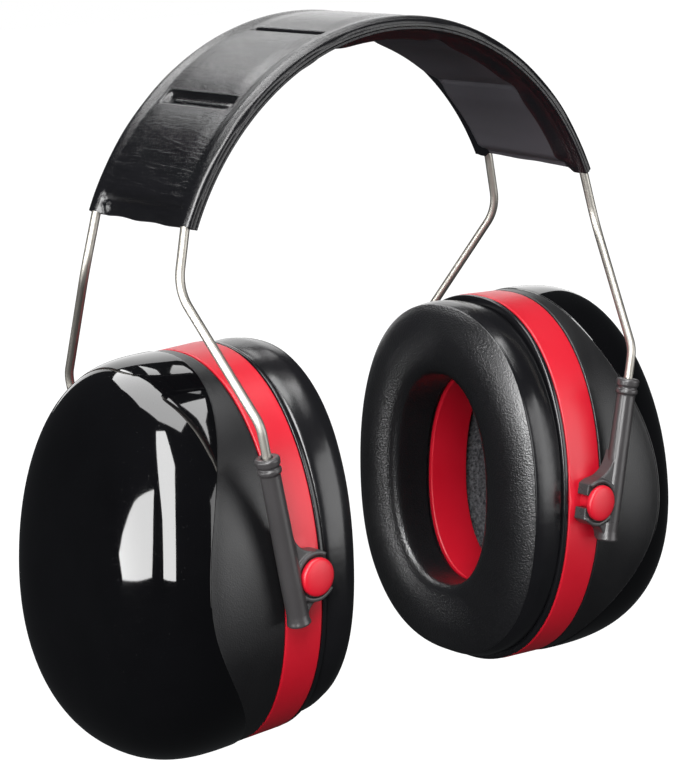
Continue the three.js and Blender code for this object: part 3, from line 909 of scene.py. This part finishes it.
def extruded(name, outline, low, high):
    """A closed prism of an outline in X and Z, between two places along Y."""
    shape = bmesh.new()
    bottom = [shape.verts.new((x, low, z)) for x, z in outline]
    top = [shape.verts.new((x, high, z)) for x, z in outline]
    shape.faces.new(bottom)
    shape.faces.new(top[::-1])
    for i in range(len(outline)):
        shape.faces.new([bottom[i], bottom[i - 1], top[i - 1], top[i]])
    bmesh.ops.recalc_face_normals(shape, faces=shape.faces)
    mesh = bpy.data.meshes.new(name)
    shape.to_mesh(mesh)
    shape.free()
    return linked(name, mesh)


def turned_tool(name, profile, axis, segments, move=(0, 0, 0)):
    rings = turned(profile, axis, segments) + np.array(move)
    return ring_piece(name, rings, Matrix.Identity(4), [])


def arm_tube():
    """The tube, with a collar of two rings at its top."""
    ring, groove = 3.35, 2.95
    foot = [(0, 0), (2.7, 0), (3.3, 0.15), (3.4, 0.6), (3.15, 1.6), (3.0, 3)]
    tube = [(3.05, 0), (3.0, 8), (2.9, 20)]
    lower_ring = [(2.8, 4.7), (ring - 0.1, 4.5), (ring, 4.1), (ring, 3.3), (groove, 3.1)]
    upper_ring = [(groove, 2.4), (ring, 2.2), (ring + 0.15, 0.6), (ring - 0.2, 0.1)]
    end = [(ring - 0.6, 0), (0, 0)]
    profile = [(radius, ARM_BOTTOM + above) for radius, above in foot] + tube
    profile += [(radius, ARM_TOP - below) for radius, below in lower_ring + upper_ring + end]
    return turned_tool("arm_tube", profile, "Z", 48, (ARM_TUBE_X, ARM_TUBE_Y, 0))


def arm_bore():
    """Room in the tube for the wire's stop, a narrow neck for the wire, and a flared mouth."""
    tube, neck, mouth = 1.9, 1.5, 2.1
    neck_bottom = ARM_TOP - 4
    profile = [
        (0, ARM_BOTTOM + 2.1),
        (tube, ARM_BOTTOM + 2.1),
        (tube, neck_bottom),
        (neck, neck_bottom),
        (neck, ARM_TOP - 0.3),
        (mouth, ARM_TOP + 0.4),
        (0, ARM_TOP + 0.4),
    ]
    return turned_tool("arm_bore", profile, "Z", 32, (ARM_TUBE_X, ARM_TUBE_Y, 0))


def stud_pocket():
    """Room for the button's head inside the clip's lip."""
    radius, low, high = 5.65, CLIP_OUTER_Y - 0.05, STUD_HEAD_TOP + 1
    profile = [(0, low), (radius, low), (radius, high), (0, high)]
    return turned_tool("stud_pocket", profile, "Y", 64)


def clip_lip():
    """A low lip on the clip, round the button."""
    inner, reach, top = 5.9, 132, 47.6
    outline = [*arc(CLIP_RADIUS, -reach, reach, 32), *arc(inner, reach, -reach, 32)]
    return extruded("lip", outline, CLIP_OUTER_Y - 1, top)


def arm_shape():
    """One arm, in millimetres: tube, collar, clip and the lip round the button."""
    body = extruded("arm_shape", clip_outline(), CLIP_INNER_Y, CLIP_OUTER_Y)
    boolean(body, arm_tube(), "UNION")
    boolean(body, clip_lip(), "UNION")
    boolean(body, stud_pocket(), "DIFFERENCE")
    boolean(body, arm_bore(), "DIFFERENCE")
    remesh = body.modifiers.new("remesh", "REMESH")
    remesh.mode = "VOXEL"
    remesh.voxel_size = 0.2
    smooth = body.modifiers.new("smooth", "SMOOTH")
    smooth.factor = 0.5
    smooth.iterations = 4
    apply_modifiers(body)
    return body


def arm(side, end, shape):
    """A copy of the arm's shape, where this side and end have it."""
    mirror = end_mirror(side, end)
    mesh = shape.data.copy()
    mesh.transform(side_matrix(side, ARM_LEAN, mirror))
    if mirror < 0:
        mesh.flip_normals()
    mesh.materials.clear()
    mesh.materials.append(MATERIALS["arm"])
    mesh.shade_smooth()
    piece = linked(f"{side}_{end}_slider", mesh)
    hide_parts(f"{side}_{end}_arm")
    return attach(piece, f"{side}_{end}_arm")


# ---- Headband sleeve ----

ARC_STEP = 0.45
ARCH_CENTRE_Z = -LINING_RADIUS
RIPPLE_SEED, SLACK_SEED, EDGE_SEED = 7.7, 5.5, 12.3


def arch_points(radius, arc_length, y, side):
    """Points over the arch, from an arc length measured along the cover."""
    angle = arc_length / COVER_RADIUS
    x = SIDES[side] * radius * np.sin(angle)
    return np.stack([x, y, ARCH_CENTRE_Z + radius * np.cos(angle)], -1)


def bar_distance(arc_length, y, angle, half_wide, half_long, corner):
    """How far outside a bar with rounded corners a point is."""
    beside = np.abs(arc_length - angle * COVER_RADIUS) - half_wide + corner
    beyond = np.abs(y) - half_long + corner
    inside = np.minimum(np.maximum(beside, beyond), 0)
    return np.hypot(np.maximum(beside, 0), np.maximum(beyond, 0)) + inside - corner


def bars(arc_length, y, shapes, half_long, soft_from, soft_to):
    """1 on each bar, 0 off them. A shape is its angle, half width and corner radius."""
    height = np.zeros(np.broadcast(arc_length, y).shape)
    for angle, half_wide, corner in shapes:
        outside = bar_distance(arc_length, y, angle, half_wide, half_long, corner)
        height = np.maximum(height, 1 - smoothstep(soft_from, soft_to, outside))
    return height


def weld_depth(arc_length, y):
    """1 in the bottom of a weld bar, 0 on the pad round it."""
    shapes = [(angle, half_wide, 0.5 * half_wide) for angle, half_wide in WELD_BARS]
    return bars(arc_length, y, shapes, half_long=15.3, soft_from=-0.6, soft_to=0.5)


def weld_strip(arc_length, y):
    """A low plain strip that stands up in the middle of the wide weld bar."""
    wide_bar_angle, _ = WELD_BARS[1]
    half_wide, corner = 0.75, 0.7
    shapes = [(wide_bar_angle, half_wide, corner)]
    return bars(arc_length, y, shapes, half_long=12.6, soft_from=-0.4, soft_to=0.3)


def near_weld(arc_length, reach):
    """1 on a weld, falling off with the distance along the arch."""
    distance = np.min([np.abs(arc_length - a * COVER_RADIUS) for a, _ in WELD_BARS], axis=0)
    return hump(distance, 0, reach)


def field(arc_length, y, scale, seed):
    """Smooth noise over the sleeve, between about -1 and 1."""
    flat_arc, flat_y = np.broadcast_arrays(arc_length, y)
    values = [
        noise.noise(Vector((a * scale[0], b * scale[1], seed)))
        for a, b in zip(flat_arc.ravel(), flat_y.ravel())
    ]
    return np.array(values).reshape(flat_arc.shape)


def end_radius(from_end, y, side):
    """The cover's radius near its open end, where it is pressed flat between the wires."""
    crease = 0.45 * hump(from_end, 4.2, 0.6) - 0.5 * hump(from_end, 2.5, 0.9)
    ripple = 0.3 * field(from_end, y, (0.12, 0.13), RIPPLE_SEED)
    fold_y = ENDS["rear"] * 17.0  # only the left end has a fold
    fold = 0.8 * hump(y, fold_y, 1.1) * hump(from_end, 2.2, 1.8) * (side == "left")
    return WELD_RADIUS + 0.5 - crease + ripple + fold


def cover_height(arc_length, y, side):
    """The radius of the cover's top, over the pad and the wires."""
    puff_height, weld_drop, strip_height = 0.75, 1.5, 0.4
    pad_half_width = 17.2
    from_middle = np.abs(y)
    from_end = SLEEVE_END - arc_length
    inside = 1 - smoothstep(11.5, 18.4, from_middle)
    puff = puff_height * (1 - near_weld(arc_length, 6.5)) * (0.5 + 0.5 * inside)
    radius = COVER_RADIUS - 0.1 + puff - weld_drop * weld_depth(arc_length, y)
    radius = radius + strip_height * weld_strip(arc_length, y)
    over_wire = smoothstep(pad_half_width, 20.6, from_middle)
    radius = radius + (RIDGE_RADIUS - radius) * over_wire
    pinch = 1 - smoothstep(2.2, 7.0, from_end)
    pinch = pinch * (1 - smoothstep(pad_half_width, 19.6, from_middle))
    return radius + (end_radius(from_end, y, side) - radius) * pinch


def cover_section(side):
    """The outer surface of the cover, as arc length, Y and radius of a grid of points."""
    rows = int(round(SLEEVE_END / ARC_STEP)) + 1
    arc_length = np.linspace(0, SLEEVE_END, rows)[:, None]
    round_y = 2.4
    top_half_width = SLEEVE_SIDE_Y - round_y
    count = int(round(2 * top_half_width / ARC_STEP)) + 1
    y = np.linspace(-top_half_width, top_half_width, count)[None, :]
    top = cover_height(arc_length, y, side)
    turn = np.linspace(0, math.pi / 2, 8)[1:]
    flange_top = WELD_RADIUS + FOIL + 0.15
    side_y = [top_half_width + round_y * s for s in np.sin(turn)]
    side_y += [SLEEVE_SIDE_Y, SLEEVE_SIDE_Y + 0.02, SLEEVE_SIDE_Y + 0.12, SLEEVE_HALF_WIDTH]
    full = RIDGE_RADIUS - flange_top
    round_drop = 0.9 * full
    drops = [round_drop * (1 - c) for c in np.cos(turn)]
    drops += [round_drop + (full - round_drop) * share for share in (0.5, 0.85, 0.97, 1)]
    drops = np.array(drops) / full
    slack = 0.35 * field(arc_length, np.zeros(1), (0.09, 1), SLACK_SEED + SIDES[side])
    slack = slack * smoothstep(0, 12, arc_length)
    down = top[:, -1:] - drops * (top[:, -1:] - flange_top)
    right_y = np.array(side_y) + slack * np.sin(np.pi * drops)
    radius = np.concatenate([down[:, ::-1], top, down], 1)
    across = np.concatenate([-right_y[:, ::-1], np.broadcast_to(y, top.shape), right_y], 1)
    return np.broadcast_to(arc_length, radius.shape), across, radius


def inner_offset(across, radius, thickness):
    """The inside of a sheet, from its outside's sections."""
    along_y, along_radius = np.gradient(across, axis=1), np.gradient(radius, axis=1)
    length = np.hypot(along_y, along_radius)
    return across + thickness * along_radius / length, radius - thickness * along_y / length


def lining_height(arc_length, y):
    """The radius of the lining's underside."""
    from_middle = np.abs(y)
    from_end = SLEEVE_END - arc_length
    on_pad = 1 - smoothstep(14.8, 16, from_middle)
    dip = 1.3 * near_weld(arc_length, 4.5) + 0.8 * near_weld(arc_length, 0.9) * on_pad
    radius = LINING_RADIUS + dip
    under_wire = 0.35 * (1 - smoothstep(21, 23, from_middle))
    flange = WELD_RADIUS - 0.15 - FOIL - under_wire
    radius = radius + (flange - radius) * smoothstep(16.2, 20.4, from_middle)
    pinch = 1 - smoothstep(1, 8, from_end)
    return radius + (flange - radius) * pinch


def sleeve_grid(step):
    rows = int(round(SLEEVE_END / step)) + 1
    columns = int(round(2 * SLEEVE_HALF_WIDTH / step)) + 1
    arc_length = np.linspace(0, SLEEVE_END, rows)[:, None]
    y = np.linspace(-SLEEVE_HALF_WIDTH, SLEEVE_HALF_WIDTH, columns)[None, :]
    return np.broadcast_arrays(arc_length, y)


def sleeve_place(arc_length, y):
    """Where on the flat sleeve a point is, in metres, and how far down the side, 0 to 1."""
    return np.stack([arc_length * MM, y * MM, arc_length / SLEEVE_END], -1)


def bend_with_leg(piece):
    """Moves the piece's placement into its mesh, so that it sits in the row frame."""
    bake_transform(piece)


def uneven_end(arc_length, y, side):
    """Arc lengths with the open end's edge cut askew, and short and wavy between the wires."""
    wave_height, trim_reach, askew_reach = 0.5, 6, 25
    wave = wave_height * field(np.zeros_like(y), y, (1, 0.11), EDGE_SEED + SIDES[side])
    between_wires = 1 - smoothstep(17, 19.3, np.abs(y))
    near_end = smoothstep(SLEEVE_END - trim_reach, SLEEVE_END, arc_length)
    rear, front = END_SHIFT[side]
    askew = front + (rear - front) * (y / SLEEVE_HALF_WIDTH + 1) / 2
    askew = askew * smoothstep(SLEEVE_END - askew_reach, SLEEVE_END, arc_length)
    return arc_length + askew + (wave - END_TRIM[side]) * between_wires * near_end


# What each layer stands for, and its material.
SLEEVE_LAYERS = {
    "cover": ("headband_cover", "sleeve"),
    "lining": ("headband_lining", "lining"),
    "pad": ("headband_foam", "pale_foam"),
}


def sleeve_layer(side, layer, arc_length, outside, inside):
    """One layer of the sleeve, from the Y and the radius of its outside and its inside."""
    node, finish = SLEEVE_LAYERS[layer]
    (top_y, top), (bottom_y, bottom) = outside, inside
    piece = slab_piece(
        f"sleeve_{layer}_{side}",
        arch_points(top, uneven_end(arc_length, top_y, side), top_y, side),
        arch_points(bottom, uneven_end(arc_length, bottom_y, side), bottom_y, side),
        MATERIALS[finish],
        sleeve_place(arc_length, top_y),
    )
    piece.data.set_sharp_from_angle(angle=math.radians(60))
    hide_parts(node)
    bend_with_leg(piece)
    return piece


def sleeve(side):
    """The cover, the lining and the pad over one half of the arch."""
    lining_step, pad_step = 0.6, 1.2
    pad_half_width, pad_short, pad_gap, pad_least = 16.4, 7, 0.4, 0.15
    arc_length, y, radius = cover_section(side)
    sleeve_layer(side, "cover", arc_length, (y, radius), inner_offset(y, radius, FOIL))

    arc_length, y = sleeve_grid(lining_step)
    low = lining_height(arc_length, y)
    sleeve_layer(side, "lining", arc_length, (y, low + FOIL), (y, low))

    arc_length, y = sleeve_grid(pad_step)
    arc_length = np.minimum(arc_length, SLEEVE_END - pad_short)
    y = y * pad_half_width / SLEEVE_HALF_WIDTH
    top = cover_height(arc_length, y, side) - FOIL - pad_gap
    low = lining_height(arc_length, y) + FOIL + pad_gap
    middle = (top + low) / 2
    top, low = np.maximum(top, middle + pad_least), np.minimum(low, middle - pad_least)
    sleeve_layer(side, "pad", arc_length, (y, top), (y, low))


# ---- Spring wires ----


def arm_to_row(x, y, z):
    """A point of the right arm's frame in the row frame, in millimetres."""
    return (side_matrix("right", ARM_LEAN) @ Vector((x, y, z))) / MM


def bend_points(before, corner, after, radius, count):
    """A round bend between two straight runs: points on a circle tangent to both."""
    to_before, to_after = (before - corner).normalized(), (after - corner).normalized()
    half_opening = to_before.angle(to_after) / 2
    start = corner + to_before * radius / math.tan(half_opening)
    centre = corner + (to_before + to_after).normalized() * radius / math.sin(half_opening)
    across = start - centre
    turn = math.pi - 2 * half_opening
    end = corner + to_after * radius / math.tan(half_opening)
    along = (end - centre - across * math.cos(turn)).normalized() * radius
    angles = np.linspace(0, turn, count)
    return [centre + across * math.cos(a) + along * math.sin(a) for a in angles]


def straight(start, end, count):
    return [start.lerp(end, share) for share in np.linspace(0, 1, count)[1:-1]]


def wire_route():
    """The right half of the rear wire, from the middle of the arch to its end in the arm."""
    radius = WIRE_ARCH_RADIUS
    arch = [
        Vector((radius * math.sin(a), WIRE_ARCH_Y, ARCH_CENTRE_Z + radius * math.cos(a)))
        for a in np.linspace(0, SLEEVE_HALF_ANGLE, 60)
    ]
    end = arm_to_row(ARM_TUBE_X, ARM_TUBE_Y, WIRE_END_HEIGHT)
    lower = arm_to_row(ARM_TUBE_X, ARM_TUBE_Y, LOWER_BEND_HEIGHT)
    upper_bend = bend_points(arch[-1], UPPER_BEND, lower, UPPER_BEND_RADIUS, 14)
    lower_bend = bend_points(UPPER_BEND, lower, end, LOWER_BEND_RADIUS, 12)
    return [
        *arch,
        *straight(arch[-1], upper_bend[0], 8),
        *upper_bend,
        *straight(upper_bend[-1], lower_bend[0], 14),
        *lower_bend,
        *straight(lower_bend[-1], end, 20),
        end,
    ]


def wire(side, end, route):
    """One half of a spring wire: rings round its route, with closed ends."""
    columns = 28
    flip = Vector((SIDES[side], ENDS[end], 1))
    points = [Vector(p * f for p, f in zip(point, flip)) for point in route]
    angles = np.linspace(0, 2 * math.pi, columns, endpoint=False)
    across = Vector((0, 1, 0))
    rings, place, length = [], [], 0.0
    for i, point in enumerate(points):
        before, after = points[max(i - 1, 0)], points[min(i + 1, len(points) - 1)]
        along = (after - before).normalized()
        across = (across - along * across.dot(along)).normalized()
        other = along.cross(across)
        spokes = [across * math.cos(a) + other * math.sin(a) for a in angles]
        rings.append([tuple(point + spoke * WIRE_RADIUS) for spoke in spokes])
        length += (point - before).length
        place.append([(length, math.cos(a), math.sin(a)) for a in angles])
    rings = [[tuple(points[0])] * columns, *rings, [tuple(points[-1])] * columns]
    place = [[place[0][0]] * columns, *place, [place[-1][0]] * columns]
    faces, _ = grid_faces(len(rings), columns, wrap_columns=True)
    piece = make_piece(
        f"{side}_{end}_spring_wire",
        np.array(rings) * MM,
        faces,
        [MATERIALS["wire"]],
        place=np.array(place) * MM,
    )
    piece.data.set_sharp_from_angle(angle=math.radians(60))
    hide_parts(f"{end}_wire")
    bend_with_leg(piece)
    return piece


# ---- CAD nodes that stay ----


def finish_node(node, material):
    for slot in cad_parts[node].material_slots:
        slot.material = material


# ---- Camera, lights and floor ----

CAMERA_PLACE = (-0.4589, -0.5534, 0.0564)
CAMERA_YAW, CAMERA_PITCH, CAMERA_ROLL = 39.445, -12.387, -1.361
CAMERA_LENS = 117
PANEL_DISTANCE = 1.6  # from the middle of the object
PANEL_MIDDLE = Vector((-0.09, -0.03, -0.12))
WHITE = (1, 1, 1, 1)

# The glowing panels round the object: how bright each is, and its corners, in degrees
# round from the camera's side to the right, and up.
LIGHT_PANELS = {
    "front_strip": (16, [(352, 60), (16, 62), (18, 42), (354, -3), (333, -4), (341, 16)]),
    "left_sail": (15, [(333, 25), (321, 5), (314, -6), (276, -12), (275, -9), (300, 9)]),
    "overhead_band": (
        8,
        [
            (221, 44), (243, 57), (300, 70), (4, 69), (50, 58),
            (72, 60), (90, 71), (170, 77), (200, 50), (200, 36),
        ],
    ),
    "overhead_sliver": (5, [(190, 36), (180, 48), (125, 75), (160, 76), (185, 58)]),
    "right_lamp": (8, [(95, 69), (115, 57), (85, 52), (73, 42), (84, 57)]),
    "rear_lamp": (4, [(176, 40), (162, 47), (121, 60), (128, 66), (170, 52)]),
    "right_panel": (3.2, [(56, -12), (56, 22), (92, 22), (92, -12)]),
    "backdrop": (1.5, [(166, -2), (166, 30), (180, 33), (205, 33), (205, -2)]),
}


def make_camera():
    """At the photograph's viewing angle, from the front left and a little above."""
    yaw, pitch, roll = (math.radians(a) for a in (CAMERA_YAW, CAMERA_PITCH, CAMERA_ROLL))
    flat = math.cos(pitch)
    forward = Vector((math.sin(yaw) * flat, math.cos(yaw) * flat, math.sin(pitch)))
    level = Vector((math.cos(yaw), -math.sin(yaw), 0))
    up = level.cross(forward)
    right = level * math.cos(roll) + up * math.sin(roll)
    above = up * math.cos(roll) - level * math.sin(roll)
    facing = Matrix((right, above, -forward)).transposed().to_4x4()
    data = bpy.data.cameras.new("camera")
    data.lens = CAMERA_LENS
    data.sensor_width = 36
    data.clip_end = 20
    camera = linked("camera", data)
    camera.matrix_world = Matrix.Translation(CAMERA_PLACE) @ facing
    bpy.context.scene.camera = camera


def from_camera_side(around, up):
    """A direction, in degrees round from the camera's side, to its right, and up."""
    turn = math.radians(CAMERA_YAW + 180 - around)
    rise = math.radians(up)
    flat = math.cos(rise)
    return Vector((math.sin(turn) * flat, math.cos(turn) * flat, math.sin(rise)))


def flat_mesh(name, points, faces, material):
    mesh = bpy.data.meshes.new(name)
    mesh.from_pydata(points, [], faces)
    mesh.materials.append(material)
    return linked(name, mesh)


def light_panel(name, radiance, corners):
    """A glowing sheet far from the object, with its corners in the given directions."""
    rim = [PANEL_MIDDLE + from_camera_side(*corner) * PANEL_DISTANCE for corner in corners]
    centre = sum(rim, Vector()) / len(rim)
    faces = [(0, i + 1, (i + 1) % len(rim) + 1) for i in range(len(rim))]
    material = bpy.data.materials.new(name)
    material.use_nodes = True
    tree = material.node_tree
    tree.nodes.clear()
    glow = add(tree, "Emission", {"Color": WHITE, "Strength": radiance})
    add(tree, "OutputMaterial", {"Surface": glow.outputs[0]})
    panel = flat_mesh(name, [centre, *rim], faces, material)
    panel.visible_camera = False
    panel.visible_shadow = False


def make_floor(level):
    """A white floor that only the camera sees, so that the white world meets it unseen."""
    half_size, glow_share, glow_strength = 3.0, 0.95, 1.1
    corners = [(x, y, level) for x in (-half_size, half_size) for y in (-half_size, half_size)]
    material, tree, shader = new_material("floor", Base_Color=(0.9, 0.9, 0.9, 1), Roughness=0.9)
    path = add(tree, "LightPath")
    share = maths(tree, "MULTIPLY", path.outputs["Is Camera Ray"], glow_share)
    glow = add(tree, "Emission", {"Color": WHITE, "Strength": glow_strength})
    blend = add(tree, "MixShader", {0: share, 1: shader.outputs[0], 2: glow.outputs[0]})
    tree.links.new(blend.outputs[0], tree.nodes["Material Output"].inputs["Surface"])
    floor = flat_mesh("floor", corners, [(0, 1, 3, 2)], material)
    floor.visible_glossy = False
    floor.visible_diffuse = False
    floor.visible_shadow = False


def make_world():
    """White to the camera, and dim and a little blue to everything else."""
    world = bpy.data.worlds.new("studio")
    world.use_nodes = True
    bpy.context.scene.world = world
    tree = world.node_tree
    tree.nodes.clear()
    path = add(tree, "LightPath")
    seen = add(tree, "Background", {"Color": WHITE, "Strength": 1.0})
    dim = add(tree, "Background", {"Color": (0.9, 0.95, 1, 1), "Strength": 0.035})
    choice = {0: path.outputs["Is Camera Ray"], 1: dim.outputs[0], 2: seen.outputs[0]}
    mixed = add(tree, "MixShader", choice)
    add(tree, "OutputWorld", {"Surface": mixed.outputs[0]})


def make_studio():
    scene = bpy.context.scene
    scene.view_settings.view_transform = "Standard"
    scene.view_settings.look = "None"
    make_world()
    room_below = 0.05  # the cups slide down and tilt below where they hang at rest
    make_floor(cad_box[0][2] - room_below)
    for name, (radiance, corners) in LIGHT_PANELS.items():
        light_panel(name, radiance, corners)


# ---- The scene ----

make_camera()
make_studio()

arm_model = arm_shape()
route = wire_route()
for side in SIDES:
    outer_shell(side)
    belt(side)
    plate_lip(side)
    cushion(side)
    cushion_filling(side)
    foam_insert(side)
    finish_node(f"{side}_inner_shell", MATERIALS["inner"])
    sleeve(side)
    for end in ENDS:
        stud(side, end)
        arm(side, end, arm_model)
        wire(side, end, route)
        finish_node(f"{side}_{end}_wire_end_stop", MATERIALS["steel"])
bpy.data.objects.remove(arm_model)
